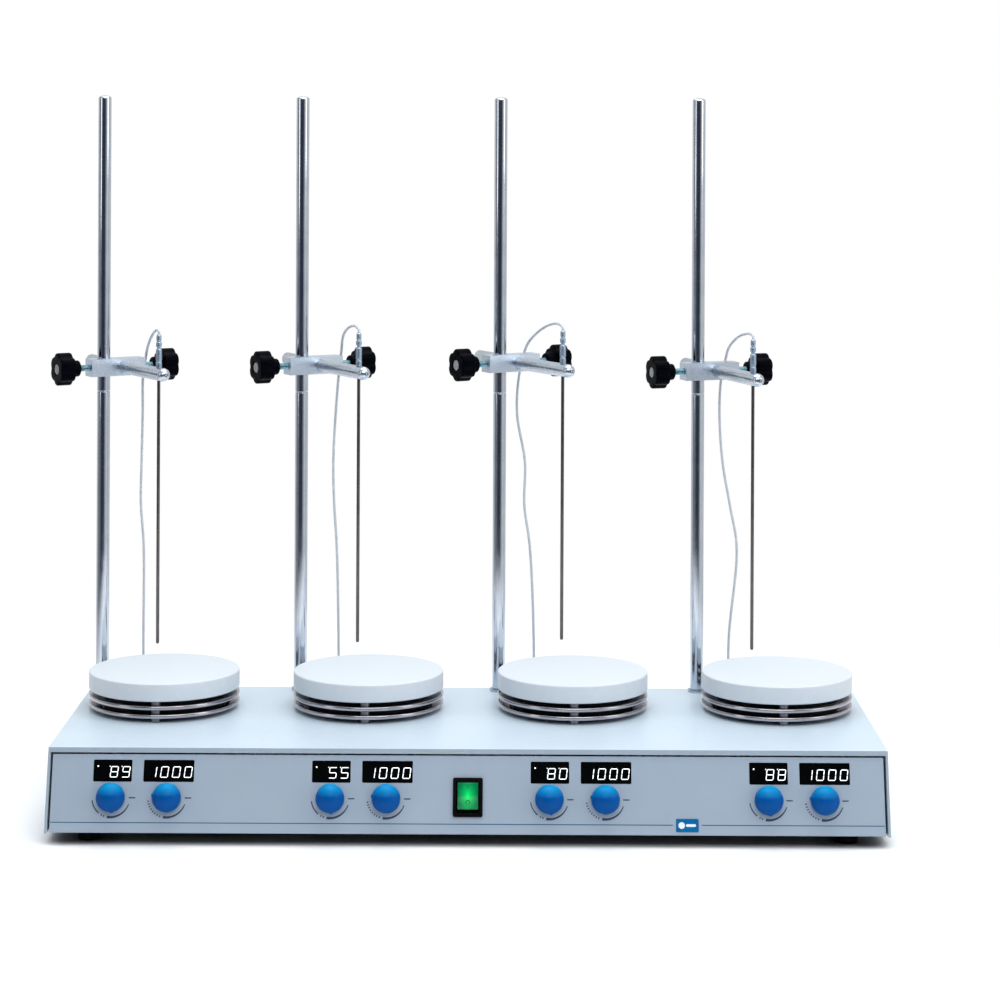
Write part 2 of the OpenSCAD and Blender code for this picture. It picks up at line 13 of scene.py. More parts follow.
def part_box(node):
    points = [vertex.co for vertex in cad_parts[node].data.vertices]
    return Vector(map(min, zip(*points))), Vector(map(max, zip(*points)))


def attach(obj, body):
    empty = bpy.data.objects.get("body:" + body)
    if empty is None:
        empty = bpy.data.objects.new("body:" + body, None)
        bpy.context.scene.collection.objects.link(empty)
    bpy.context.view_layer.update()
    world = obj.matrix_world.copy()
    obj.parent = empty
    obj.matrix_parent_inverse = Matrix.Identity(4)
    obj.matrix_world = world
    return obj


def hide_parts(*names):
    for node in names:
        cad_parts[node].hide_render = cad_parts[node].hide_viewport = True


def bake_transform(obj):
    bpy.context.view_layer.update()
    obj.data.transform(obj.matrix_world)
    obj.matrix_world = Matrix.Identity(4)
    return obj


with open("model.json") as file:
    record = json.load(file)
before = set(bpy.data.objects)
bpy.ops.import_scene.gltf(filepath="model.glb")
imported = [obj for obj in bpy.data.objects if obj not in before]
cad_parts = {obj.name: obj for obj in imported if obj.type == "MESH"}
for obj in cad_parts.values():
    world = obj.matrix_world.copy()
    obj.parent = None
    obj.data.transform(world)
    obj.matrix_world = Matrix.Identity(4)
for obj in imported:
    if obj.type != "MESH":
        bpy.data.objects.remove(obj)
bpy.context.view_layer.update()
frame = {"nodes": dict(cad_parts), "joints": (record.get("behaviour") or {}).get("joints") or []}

MM = 0.001
PLACES = (1, 2, 3, 4)
JOINTS = {joint["name"]: joint for joint in frame["joints"]}
X_AXIS = Vector((1, 0, 0))
Y_AXIS = Vector((0, 1, 0))
Z_AXIS = Vector((0, 0, 1))


# ---------------------------------------------------------------- places from the frame

def joint_at(name):
    return Vector(JOINTS[name]["pos_m"])


def joint_axis(name):
    return Vector(JOINTS[name]["axis"]).normalized()


PANEL_OUT = joint_axis("temp_knob_turn_1")
PANEL_UP = PANEL_OUT.cross(X_AXIS)
KNOB_ROW = joint_at("temp_knob_turn_1")


def axes_matrix(origin, x, y, z):
    """A matrix whose columns are the three axes, placed at the origin point."""
    m = Matrix((x, y, z)).transposed().to_4x4()
    m.translation = origin
    return m


def panel_matrix(x, up=0.0, out=0.0):
    """Local X runs across the panel, Y up its slope and Z out; up counts from the knob row."""
    origin = Vector((x, KNOB_ROW.y, KNOB_ROW.z)) + PANEL_UP * up + PANEL_OUT * out
    return axes_matrix(origin, X_AXIS, PANEL_UP, PANEL_OUT)


def axis_matrix(origin, axis):
    """Local Z runs along the axis."""
    side = Z_AXIS.cross(axis)
    side = side.normalized() if side.length > 1e-6 else X_AXIS
    return axes_matrix(origin, side, axis.cross(side), axis)


def place_x(i):
    return joint_at(f"magnet_spin_{i}").x


PLATE_Y = joint_at("magnet_spin_1").y
HEAD_AT = {i: joint_at(f"arm_screw_turn_{i}") for i in PLACES}
ALONG = {i: joint_axis(f"arm_screw_turn_{i}") for i in PLACES}
AHEAD = {i: joint_axis(f"arm_slide_{i}") for i in PLACES}


# ---------------------------------------------------------------- materials

def linear(r, g, b):
    """Screen colour, 0 to 255, to the linear colour that shaders use."""
    def one(c):
        c /= 255
        return c / 12.92 if c <= 0.04045 else ((c + 0.055) / 1.055) ** 2.4
    return (one(r), one(g), one(b), 1.0)


MIX_FACTOR, MIX_A, MIX_B, MIX_RESULT = 0, 6, 7, 2


def mix_colours(tree, a, b, factor):
    """A node that runs from colour a to colour b; returns its result."""
    made = tree.nodes.new("ShaderNodeMix")
    made.data_type = "RGBA"
    made.inputs[MIX_A].default_value = a
    made.inputs[MIX_B].default_value = b
    tree.links.new(factor, made.inputs[MIX_FACTOR])
    return made.outputs[MIX_RESULT]


class Look:
    """A node material with colour variation, roughness variation and bump from procedural noise."""

    def __init__(self, name, colour, rough=0.4, metal=0.0, coat=0.0):
        self.material = bpy.data.materials.new(name)
        self.material.use_nodes = True
        self.tree = self.material.node_tree
        self.bsdf = self.tree.nodes["Principled BSDF"]
        self.colour = linear(*colour)
        self.bsdf.inputs["Base Color"].default_value = self.colour
        self.bsdf.inputs["Roughness"].default_value = rough
        self.bsdf.inputs["Metallic"].default_value = metal
        self.bsdf.inputs["Coat Weight"].default_value = coat
        self.bsdf.inputs["Coat Roughness"].default_value = 0.08
        self.rough = rough
        self.last_normal = None
        self.coords = self.node("ShaderNodeTexCoord").outputs["Object"]

    def node(self, kind, **values):
        made = self.tree.nodes.new(kind)
        for key, value in values.items():
            setattr(made, key, value)
        return made

    def link(self, a, b):
        self.tree.links.new(a, b)

    def noise(self, size_mm, stretch=(1, 1, 1), detail=3.0):
        """Noise whose features are about size_mm across, stretched along the axes."""
        mapping = self.node("ShaderNodeMapping")
        scale = 1 / (size_mm * MM)
        mapping.inputs["Scale"].default_value = [scale / s for s in stretch]
        made = self.node("ShaderNodeTexNoise")
        made.inputs["Scale"].default_value = 1.0
        made.inputs["Detail"].default_value = detail
        self.link(self.coords, mapping.inputs["Vector"])
        self.link(mapping.outputs["Vector"], made.inputs["Vector"])
        return made.outputs["Fac"]

    def spread(self, value, low, high, start=0.3, end=0.7):
        made = self.node("ShaderNodeMapRange")
        made.inputs["From Min"].default_value = start
        made.inputs["From Max"].default_value = end
        made.inputs["To Min"].default_value = low
        made.inputs["To Max"].default_value = high
        self.link(value, made.inputs["Value"])
        return made.outputs["Result"]

    def vary_colour(self, value, other, amount=1.0):
        mixed = mix_colours(self.tree, self.colour, linear(*other), self.spread(value, 0.0, amount))
        self.link(mixed, self.bsdf.inputs["Base Color"])
        return self

    def shade_facing(self, axis, other, start, end, amount=1.0):
        """Painted light and shade: another colour on faces that look along the axis of the world,
        such as -Y.
        """
        split = self.node("ShaderNodeSeparateXYZ")
        self.link(self.node("ShaderNodeNewGeometry").outputs["Normal"], split.inputs["Vector"])
        facing = self.node("ShaderNodeMath", operation="MULTIPLY")
        facing.inputs[1].default_value = -1.0 if axis[0] == "-" else 1.0
        self.link(split.outputs[axis[-1]], facing.inputs[0])
        factor = self.spread(facing.outputs["Value"], 0.0, amount, start, end)
        mixed = mix_colours(self.tree, self.colour, linear(*other), factor)
        before = self.bsdf.inputs["Base Color"].links
        if before:
            self.link(before[0].from_socket, mixed.node.inputs[MIX_A])
        self.link(mixed, self.bsdf.inputs["Base Color"])
        return self

    def vary_rough(self, value, amount):
        low = max(self.rough - amount, 0.02)
        self.link(self.spread(value, low, self.rough + amount), self.bsdf.inputs["Roughness"])
        return self

    def bump(self, value, depth_mm, strength=0.5):
        made = self.node("ShaderNodeBump")
        made.inputs["Distance"].default_value = depth_mm * MM
        made.inputs["Strength"].default_value = strength
        self.link(value, made.inputs["Height"])
        if self.last_normal is not None:
            self.link(self.last_normal, made.inputs["Normal"])
        self.last_normal = made.outputs["Normal"]
        self.link(self.last_normal, self.bsdf.inputs["Normal"])
        return self

    def glow(self, colour, strength):
        self.bsdf.inputs["Emission Color"].default_value = linear(*colour)
        self.bsdf.inputs["Emission Strength"].default_value = strength
        return self


def painted(name, colour, shade, front=None):
    """Satin powder coat: orange peel, faint clouding and tiny specks; with front given, painted
    shade in that colour on faces that look forward.
    """
    look = Look(name, colour, rough=0.38, coat=0.12)
    look.vary_colour(look.noise(60), shade, 0.5)
    if front:
        # Painted shade: faces that look forward take the darker front colour, as if less lit.
        look.shade_facing("-Y", front, 0.6, 0.85)
    look.vary_rough(look.noise(6), 0.05)
    look.bump(look.noise(1.1, detail=2), 0.035, 0.35)
    return look.material


def metal(name, colour, shade, rough, stretch, size_mm=0.5, depth_mm=0.006, strength=0.35):
    """Worked metal whose fine lines run along the stretched axis."""
    look = Look(name, colour, rough=rough, metal=1.0)
    lines = look.noise(size_mm, stretch)
    look.vary_colour(look.noise(14), shade, 0.6)
    look.vary_rough(lines, rough * 0.3)
    look.bump(lines, depth_mm, strength)
    return look.material


def moulded(name, colour, shade, rough, coat=0.0, grain_mm=0.35, depth_mm=0.012, shine=0.35,
            top=None):
    """Moulded plastic or rubber with a fine grain and cloudy colour; with top given, a painted
    highlight in that colour on faces that look up.
    """
    look = Look(name, colour, rough=rough, coat=coat)
    look.bsdf.inputs["Specular IOR Level"].default_value = shine
    look.vary_colour(look.noise(7), shade, 0.7)
    if top:
        # Painted highlight: faces that look up take the lighter top colour, as if lit from above.
        look.shade_facing("Z", top, 0.3, 0.95)
    look.vary_rough(look.noise(2.5), 0.05)
    look.bump(look.noise(grain_mm, detail=2), depth_mm, 0.3)
    return look.material


def turned_steel(name, colour, shade, rough):
    """Steel turned on a lathe: rings of fine grooves about the local Z axis."""
    look = Look(name, colour, rough=rough, metal=1.0)
    split = look.node("ShaderNodeSeparateXYZ")
    look.link(look.coords, split.inputs["Vector"])
    flat = look.node("ShaderNodeCombineXYZ")
    look.link(split.outputs["X"], flat.inputs["X"])
    look.link(split.outputs["Y"], flat.inputs["Y"])
    radius = look.node("ShaderNodeVectorMath", operation="LENGTH")
    look.link(flat.outputs["Vector"], radius.inputs[0])
    grooves = look.node("ShaderNodeTexNoise", noise_dimensions="2D")
    pair = look.node("ShaderNodeCombineXYZ")
    look.link(radius.outputs["Value"], pair.inputs["X"])
    look.link(split.outputs["Z"], pair.inputs["Y"])
    look.link(pair.outputs["Vector"], grooves.inputs["Vector"])
    grooves.inputs["Scale"].default_value = 3500
    look.vary_colour(look.noise(25), shade, 0.6)
    look.vary_rough(grooves.outputs["Fac"], rough * 0.35)
    look.bump(grooves.outputs["Fac"], 0.006, 0.35)
    return look.material


def galvanised(name):
    """Zinc plate with its patchwork of crystals."""
    look = Look(name, (176, 180, 186), rough=0.36, metal=1.0)
    cells = look.node("ShaderNodeTexVoronoi")
    cells.inputs["Scale"].default_value = 220
    look.link(look.coords, cells.inputs["Vector"])
    split = look.node("ShaderNodeSeparateColor")
    look.link(cells.outputs["Color"], split.inputs["Color"])
    look.vary_colour(split.outputs["Red"], (206, 210, 216), 0.7)
    look.vary_rough(split.outputs["Green"], 0.1)
    look.bump(look.noise(0.8), 0.008, 0.3)
    return look.material


def lit_digits(name):
    look = Look(name, (255, 255, 255), rough=0.5)
    look.vary_colour(look.noise(1.5), (236, 246, 255))
    look.glow((248, 252, 255), 0.95)
    return look.material


def lit_rocker(name):
    """Translucent green moulding with upright ribs, brightest over the lamp in the middle."""
    look = Look(name, (4, 110, 62), rough=0.32, coat=0.05)
    look.bsdf.inputs["Specular IOR Level"].default_value = 0.1
    squash = look.node("ShaderNodeMapping")
    squash.inputs["Scale"].default_value = (1 / (5.6 * MM), 1 / (9.5 * MM), 0)
    look.link(look.coords, squash.inputs["Vector"])
    reach = look.node("ShaderNodeVectorMath", operation="LENGTH")
    look.link(squash.outputs["Vector"], reach.inputs[0])
    glow = look.spread(reach.outputs["Value"], 1.0, 0.0, 0.0, 1.5)
    tint = mix_colours(look.tree, linear(0, 110, 64), linear(0, 255, 110), glow)
    look.link(tint, look.bsdf.inputs["Emission Color"])
    strength = look.spread(glow, 0.2, 0.85, 0.0, 1.0)
    look.link(strength, look.bsdf.inputs["Emission Strength"])
    ribs = look.node("ShaderNodeTexWave", bands_direction="X")
    ribs.inputs["Scale"].default_value = 320
    ribs.inputs["Distortion"].default_value = 0.4
    look.link(look.coords, ribs.inputs["Vector"])
    look.vary_colour(look.noise(4), (6, 84, 60), 0.7)
    look.bump(ribs.outputs["Fac"], 0.05, 0.35)
    return look.material


# The cover's front colour is painted shade on the faces of its lip that look forward.
PAINT_COVER = painted("cover_paint", (200, 216, 229), (190, 208, 222), front=(148, 163, 178))
PAINT_PANEL = painted("panel_paint", (152, 167, 183), (144, 160, 177))
# The plate's top colour is a painted highlight on its upward faces.
CERAMIC = moulded("plate_glaze_lit_top", (208, 215, 222), (202, 210, 218), 0.45, grain_mm=20,
                  depth_mm=0.0005, top=(211, 220, 228))
RING_STEEL = turned_steel("ring_steel", (186, 182, 186), (150, 146, 152), 0.14)
# The spacers' steel is darker than the rings' steel as painted shade of the gaps between the rings.
SPACER_STEEL_SHADED = turned_steel("spacer_steel", (132, 132, 138), (104, 104, 112), 0.34)
ROD_STEEL = metal("rod_steel", (206, 212, 220), (186, 194, 206), 0.12, (1, 1, 30))
BAR_STEEL = metal("bar_steel", (206, 214, 224), (188, 198, 210), 0.26, (1, 1, 30))
HEAD_ALUMINIUM = metal("head_aluminium", (206, 216, 228), (190, 202, 216), 0.34, (40, 1, 1))
PROBE_STEEL = metal("probe_steel", (112, 106, 104), (84, 80, 80), 0.3, (1, 1, 60))
GLAND_STEEL = turned_steel("gland_steel", (172, 190, 208), (146, 166, 188), 0.4)
SOCKET_STEEL = turned_steel("socket_steel", (190, 202, 212), (160, 176, 190), 0.26)
ZINC = galvanised("zinc")
STUD_ZINC = turned_steel("stud_zinc", (150, 190, 200), (110, 150, 165), 0.3)
STAR_BLACK = moulded("star_black", (1, 2, 7), (3, 5, 12), 0.34, shine=0.02)
STAR_CAP = moulded("star_cap", (150, 153, 158), (130, 134, 140), 0.5)
# The knobs' top colour is a painted highlight on their upward faces.
KNOB_BLUE = moulded("knob_blue", (0, 78, 150), (0, 70, 140), 0.34, coat=0.05, depth_mm=0.006,
                    shine=0.06, top=(0, 142, 202))
WINDOW_BLACK = moulded("window_black", (3, 4, 4), (6, 7, 8), 0.2, depth_mm=0.004, shine=0.05)
DIGITS = lit_digits("lit_digits")
ROCKER_GREEN = lit_rocker("rocker_green")
ROCKER_MARK = moulded("rocker_mark", (0, 74, 30), (0, 60, 26), 0.4)
SWITCH_BLACK = moulded("switch_black", (4, 4, 7), (8, 8, 12), 0.34, shine=0.08)
HEATER_BLACK = moulded("heater_black", (10, 10, 12), (18, 18, 20), 0.6)
RUBBER = moulded("foot_rubber", (10, 10, 12), (18, 18, 20), 0.75, grain_mm=0.8, depth_mm=0.04,
                 shine=0.1)
CABLE_GREY = moulded("cable_grey", (200, 206, 212), (184, 190, 198), 0.5)
PRINT_GREY = moulded("print_grey", (54, 62, 80), (70, 80, 98), 0.5, shine=0.1)
PINSTRIPE = moulded("pinstripe_teal", (18, 88, 120), (14, 76, 108), 0.4, shine=0.1)
BADGE_BLUE = moulded("badge_blue", (0, 92, 152), (0, 104, 146), 0.3, coat=0.1, shine=0.2)
BADGE_WHITE = moulded("badge_white", (224, 238, 248), (206, 226, 240), 0.4)
BOARD_GREEN = moulded("board_green", (20, 92, 52), (14, 74, 40), 0.4, coat=0.3)
DARK_PARTS = moulded("dark_parts", (52, 54, 60), (70, 72, 80), 0.5)
AMBER_PARTS = moulded("amber_parts", (176, 140, 62), (150, 116, 48), 0.5)
MAGNET_IRON = metal("magnet_iron", (110, 110, 114), (86, 86, 92), 0.45, (1, 1, 1))


# ---------------------------------------------------------------- mesh tools

def finish_piece(obj, material, body, replaced=()):
    obj.data.materials.append(material)
    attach(obj, body)
    if replaced:
        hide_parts(*replaced)
    return obj


def mesh_object(name, points, faces, matrix=None, sharp_deg=35):
    """A smooth mesh whose edges stay sharp above an angle."""
    mesh = bpy.data.meshes.new(name)
    mesh.from_pydata([tuple(p) for p in points], [], faces)
    mesh.polygons.foreach_set("use_smooth", [True] * len(mesh.polygons))
    mesh.set_sharp_from_angle(angle=math.radians(sharp_deg))
    mesh.update()
    obj = bpy.data.objects.new(name, mesh)
    bpy.context.scene.collection.objects.link(obj)
    if matrix is not None:
        obj.matrix_world = matrix
    return obj


def rounded_rows(corners, radius, steps=5):
    """An open line of (r, z) corners with each inner corner rounded by an arc."""
    points = [Vector(c) for c in corners]
    rows = [points[0]]
    for before, here, after in zip(points, points[1:], points[2:]):
        a, b = before - here, after - here
        size = min(radius, a.length * 0.49, b.length * 0.49)
        start, end = here + a.normalized() * size, here + b.normalized() * size
        for k in range(steps + 1):
            t = k / steps
            rows.append(start * (1 - t) ** 2 + here * 2 * t * (1 - t) + end * t ** 2)
    rows.append(points[-1])
    return [tuple(p) for p in rows]


def turned_mesh(parts, segments=96, outline=None):
    """Points and faces of bodies of revolution about Z, given as rows of (r, z) in millimetres.

    outline(angle, r, z) may change the radius at an angle.
    """
    points, faces = [], []
    for rows in parts:
        rings = []
        for r, z in rows:
            if r < 1e-6:
                rings.append([len(points)])
                points.append(Vector((0, 0, z * MM)))
                continue
            rings.append(list(range(len(points), len(points) + segments)))
            for k in range(segments):
                angle = 2 * math.pi * k / segments
                reach = outline(angle, r, z) if outline else r
                points.append(Vector((reach * math.cos(angle), reach * math.sin(angle), z)) * MM)
        for low, high in zip(rings, rings[1:]):
            for k in range(segments):
                after = (k + 1) % segments
                if len(low) == 1 and len(high) > 1:
                    faces.append((low[0], high[after], high[k]))
                elif len(high) == 1 and len(low) > 1:
                    faces.append((low[k], low[after], high[0]))
                elif len(low) > 1:
                    faces.append((low[k], low[after], high[after], high[k]))
    return points, faces


def lathe(name, parts, matrix, segments=96, outline=None):
    points, faces = turned_mesh(parts, segments, outline)
    return mesh_object(name, points, faces, matrix)


def prism_mesh(outline, z0, z1):
    """Points and faces of a flat outline in millimetres, extruded between two heights."""
    n = len(outline)
    points = [Vector((x, y, z)) * MM for z in (z0, z1) for x, y in outline]
    faces = [tuple(reversed(range(n))), tuple(range(n, 2 * n))]
    faces += [(k, (k + 1) % n, n + (k + 1) % n, n + k) for k in range(n)]
    return points, faces


def joined(meshes):
    points, faces = [], []
    for some_points, some_faces in meshes:
        start = len(points)
        points += some_points
        faces += [tuple(start + k for k in face) for face in some_faces]
    return points, faces


def moved_mesh(mesh, matrix):
    return [matrix @ p for p in mesh[0]], mesh[1]


def arc_points(cx, cy, r, start_deg, end_deg, steps):
    out = []
    for k in range(steps + 1):
        a = math.radians(start_deg + (end_deg - start_deg) * k / steps)
        out.append((cx + r * math.cos(a), cy + r * math.sin(a)))
    return out


def rounded_rect(w, h, r, steps=6):
    x, y = w / 2 - r, h / 2 - r
    return (arc_points(x, y, r, 0, 90, steps) + arc_points(-x, y, r, 90, 180, steps)
            + arc_points(-x, -y, r, 180, 270, steps) + arc_points(x, -y, r, 270, 360, steps))


WELD_REACH = 1e-6
FLAT_DEG = 0.5


def soften(obj, width_mm, segments=3, angle_deg=30, smooth=True):
    """Welds a mesh, merges its flat triangles and rounds its edges, all by modifiers."""
    weld = obj.modifiers.new("weld", "WELD")
    weld.merge_threshold = WELD_REACH
    flats = obj.modifiers.new("flats", "DECIMATE")
    flats.decimate_type = "DISSOLVE"
    flats.angle_limit = math.radians(FLAT_DEG)
    bevel = obj.modifiers.new("bevel", "BEVEL")
    bevel.width = width_mm * MM
    bevel.segments = segments
    bevel.limit_method = "ANGLE"
    bevel.angle_limit = math.radians(angle_deg)
    bevel.harden_normals = smooth
    obj.data.polygons.foreach_set("use_smooth", [smooth] * len(obj.data.polygons))


def spline(points, steps):
    """A smooth line through the points that doesn't overshoot (centripetal Catmull-Rom)."""
    line = [points[0] * 2 - points[1]] + list(points) + [points[-1] * 2 - points[-2]]
    out = []
    for p0, p1, p2, p3 in zip(line, line[1:], line[2:], line[3:]):
        t1 = (p1 - p0).length ** 0.5
        t2 = t1 + (p2 - p1).length ** 0.5
        t3 = t2 + (p3 - p2).length ** 0.5
        for k in range(steps):
            t = t1 + (t2 - t1) * k / steps
            a = p0.lerp(p1, t / t1)
            b = p1.lerp(p2, (t - t1) / (t2 - t1))
            c = p2.lerp(p3, (t - t2) / (t3 - t2))
            near, far = a.lerp(b, t / t2), b.lerp(c, (t - t1) / (t3 - t1))
            out.append(near.lerp(far, (t - t1) / (t2 - t1)))
    out.append(points[-1])
    return out


def tube(name, line, radius_mm, sides=14):
    """A round cord along a line of points, with closed ends."""
    points, faces = [], []
    side = None
    for k, here in enumerate(line):
        ahead = (line[min(k + 1, len(line) - 1)] - line[max(k - 1, 0)]).normalized()
        if side is None:
            side = ahead.orthogonal().normalized()
        side = (side - ahead * side.dot(ahead)).normalized()
        up = ahead.cross(side)
        for s in range(sides):
            a = 2 * math.pi * s / sides
            points.append(here + (side * math.cos(a) + up * math.sin(a)) * radius_mm * MM)
    for k in range(len(line) - 1):
        for s in range(sides):
            after = (s + 1) % sides
            a, b = k * sides, (k + 1) * sides
            faces.append((a + s, a + after, b + after, b + s))
    faces.append(tuple(reversed(range(sides))))
    faces.append(tuple(range(len(points) - sides, len(points))))
    return mesh_object(name, points, faces)


# ---------------------------------------------------------------- housing

CAD_LOOKS = {
    "top_cover": PAINT_COVER, "front_panel": PAINT_PANEL, "base_tray": ZINC,
    "rubber_feet": RUBBER, "heater_elements": HEATER_BLACK, "rod_sockets": SOCKET_STEEL,
    "probe_sockets": SOCKET_STEEL, "knob_potentiometers": DARK_PARTS,
    "display_windows": WINDOW_BLACK, "display_modules": DARK_PARTS,
    "control_board": BOARD_GREEN, "switch_body": SWITCH_BLACK, "power_inlet": SWITCH_BLACK,
    "stirrer_motors": MAGNET_IRON, "power_supply": AMBER_PARTS,
    "boss_head": HEAD_ALUMINIUM, "probe_arm": BAR_STEEL, "drive_magnet": MAGNET_IRON,
}
# Edge rounding of the CAD nodes that stay in view, in millimetres
CAD_SOFTEN = {
    "top_cover": 0.7, "front_panel": 0.4, "display_windows": 0.3, "switch_body": 0.5,
    "power_inlet": 0.5, "boss_head": 0.6, "rod_sockets": 0.4, "rubber_feet": 0.8,
    "probe_sockets": 0.4, "base_tray": 0.4, "probe_arm": 0.5,
}
# Nodes with large flat faces, which smooth shading would make look dented
FLAT_NODES = ("top_cover", "front_panel", "base_tray", "display_windows", "switch_body",
              "boss_head")


def dress_cad_nodes():
    for name, obj in frame["nodes"].items():
        kind = name.rstrip("_1234")
        look = CAD_LOOKS.get(name) or CAD_LOOKS.get(kind)
        if look is None:
            continue
        obj.data.materials.clear()
        obj.data.materials.append(look)
        width = CAD_SOFTEN.get(name) or CAD_SOFTEN.get(kind)
        if width:
            soften(obj, width, smooth=kind not in FLAT_NODES)


PLATE_POCKET_R, PLATE_POCKET_H = 48, 5
PLATE_EDGE = 1.6


def build_plates():
    """White ceramic plates with the pocket of the heater in their underside."""
    low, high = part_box("hot_plates")
    r = (high.y - low.y) / 2 / MM
    t = (high.z - low.z) / MM
    for i in PLACES:
        corners = [(PLATE_POCKET_R, PLATE_POCKET_H), (PLATE_POCKET_R, 0), (r, 0), (r, t), (0, t)]
        rows = [(0, PLATE_POCKET_H)] + rounded_rows(corners, PLATE_EDGE)
        matrix = Matrix.Translation((place_x(i), PLATE_Y, low.z))
        plate = lathe(f"hot_plate_{i}", [rows], matrix, 160)
        finish_piece(plate, CERAMIC, "housing", ["hot_plates"])


def ring_levels():
    """Heights of the rings' undersides, their thickness and the gap between them, in mm."""
    low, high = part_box("heat_shield_rings")
    plate_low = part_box("hot_plates")[0].z
    gap = (plate_low - high.z) / MM
    thick = ((high.z - low.z) / MM - gap) / 2
    return (0.0, thick + gap), thick, gap


RING_HOLE_R = 56
RING_EDGE = 1.25
SPACER_R, SPACER_AT_R = 4.3, 60
SPACER_EDGE = 0.4


def build_rings():
    """Two rings under each plate, with three spacer columns in each of the three gaps."""
    low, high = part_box("heat_shield_rings")
    outer = (high.y - low.y) / 2 / MM
    hole = RING_HOLE_R
    levels, thick, gap = ring_levels()
    for i in PLACES:
        rings, columns = [], []
        for level in levels:
            corners = [(hole, 0.4), (hole, 0), (outer, 0), (outer, thick), (hole, thick),
                       (hole, thick - 0.4)]
            rows = [(hole, thick / 2)] + rounded_rows(corners, RING_EDGE)
            rings.append([(r, z + level) for r, z in rows + [rows[0]]])
        matrix = Matrix.Translation((place_x(i), PLATE_Y, low.z))
        ring = lathe(f"shield_rings_{i}", rings, matrix, 160)
        finish_piece(ring, RING_STEEL, "housing", ["heat_shield_rings"])
        for level in (-gap, levels[0] + thick, levels[1] + thick):
            corners = [(0, 0), (SPACER_R, 0), (SPACER_R, gap), (0, gap)]
            rows = [(r, z + level) for r, z in rounded_rows(corners, SPACER_EDGE, 3)]
            for k in range(3):
                a = math.radians(120 * k - 90)
                at = Vector((SPACER_AT_R * math.cos(a), SPACER_AT_R * math.sin(a), 0))
                spot = Matrix.Translation(at * MM)
                columns.append(moved_mesh(turned_mesh([rows], 32), spot))
        spacers = mesh_object(f"ring_spacers_{i}", *joined(columns), matrix=matrix)
        finish_piece(spacers, SPACER_STEEL_SHADED, "housing", ["ring_spacers"])


ROD_JOINT_BELOW = 22
ROD_NECK_R = 3
ROD_EDGE = 0.5
ROD_DOME = 2.4


def build_rods():
    """Support rods of two halves, with a groove at their joint and a domed top."""
    joint_z = HEAD_AT[1].z / MM - ROD_JOINT_BELOW
    for i in PLACES:
        low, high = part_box(f"support_rod_{i}")
        r = (high.x - low.x) / 2 / MM
        top = (high.z - low.z) / MM
        joint = joint_z - low.z / MM
        end, start = joint - 0.25, joint + 0.25
        lower = rounded_rows([(0, 0), (r, 0), (r, end), (ROD_NECK_R, end)], ROD_EDGE)
        upper = rounded_rows([(ROD_NECK_R, start), (r, start), (r, top - 2.6)], ROD_EDGE)
        dome = [(r * math.cos(a), top - ROD_DOME + ROD_DOME * math.sin(a))
                for a in [math.pi / 2 * k / 10 for k in range(10)]]
        matrix = Matrix.Translation(((low.x + high.x) / 2, (low.y + high.y) / 2, low.z))
        rod = lathe(f"rod_{i}", [lower + upper + dome + [(0, top)]], matrix, 64)
        finish_piece(rod, ROD_STEEL, f"support_rod_{i}", [f"support_rod_{i}"])


# ---------------------------------------------------------------- thumb screws

STAR_LOBES = 6
STAR_HUB = 8.6
STAR_VALLEY, STAR_VALLEY_DEG = 2.0, 14
STAR_EDGE = 1.7


def star_radius(i, axis, node):
    """Reach of the CAD screw's head from its axis, in millimetres."""
    points = [v.co - HEAD_AT[i] for v in frame["nodes"][node].data.vertices]
    return max((p - axis * p.dot(axis)).length for p in points) / MM


def star_outline(angle, r, z):
    """Radius of the star head: rounded valleys between broad lobes."""
    if r < STAR_HUB:
        return r
    turn = 2 * math.pi / STAR_LOBES
    off = (angle + turn / 2) % turn - turn / 2
    valley = math.exp(-(off / math.radians(STAR_VALLEY_DEG)) ** 2)
    return r - STAR_VALLEY * valley * min(1.0, (r - STAR_HUB) / 4)


def build_thumb_screw(name, i, stud_end, knob_start, axis, body, node):
    """stud_end and knob_start are distances from the rod's axis, in millimetres."""
    z = knob_start
    hub = [(3.2, z + 0.6), (3.6, z), (7.5, z), (7.5, z + 8.0)]
    r = star_radius(i, axis, node)
    star = [(r, z + 8.0), (r, z + 22), (5.6, z + 22), (5.2, z + 21.2), (4.6, z + 21.2)]
    matrix = axis_matrix(HEAD_AT[i], axis)
    knob = lathe(name, [rounded_rows(hub + star, STAR_EDGE, 4)], matrix, 180, star_outline)
    finish_piece(knob, STAR_BLACK, body, [node])
    cap_rows = rounded_rows([(4.7, z + 20.6), (4.7, z + 21.9), (0, z + 22.1)], 0.6)
    cap = lathe(name + "_cap", [cap_rows], matrix, 40)
    finish_piece(cap, STAR_CAP, body)
    thread = [(0, stud_end)]
    pitch = 1.0
    turns = int((z + 1 - stud_end) / pitch)
    for k in range(turns):
        thread += [(2.55, stud_end + k * pitch), (3.0, stud_end + (k + 0.35) * pitch),
                   (3.0, stud_end + (k + 0.55) * pitch)]
    thread += [(2.55, z + 1), (0, z + 1)]
    stud = lathe(name + "_stud", [thread], matrix, 40)
    finish_piece(stud, STUD_ZINC, body)


def build_heads():
    for i in PLACES:
        reach = head_reach(i)
        build_thumb_screw(f"rod_thumb_screw_{i}", i, 6.2, reach["left"] + 10, -ALONG[i],
                          f"rod_screw_{i}", f"rod_screw_{i}")
        build_thumb_screw(f"arm_thumb_screw_{i}", i, 23.2, reach["right"] + 10, ALONG[i],
                          f"arm_screw_{i}", f"arm_screw_{i}")


def head_reach(i):
    """How far the block reaches each way along the head from the rod, in millimetres."""
    points = [v.co - HEAD_AT[i] for v in frame["nodes"][f"boss_head_{i}"].data.vertices]
    along = [p.dot(ALONG[i]) / MM for p in points]
    return {"left": -min(along), "right": max(along)}


# ---------------------------------------------------------------- probes and cables

def probe_spot(i):
    low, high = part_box(f"probe_{i}")
    return (low.x + high.x) / 2, (low.y + high.y) / 2


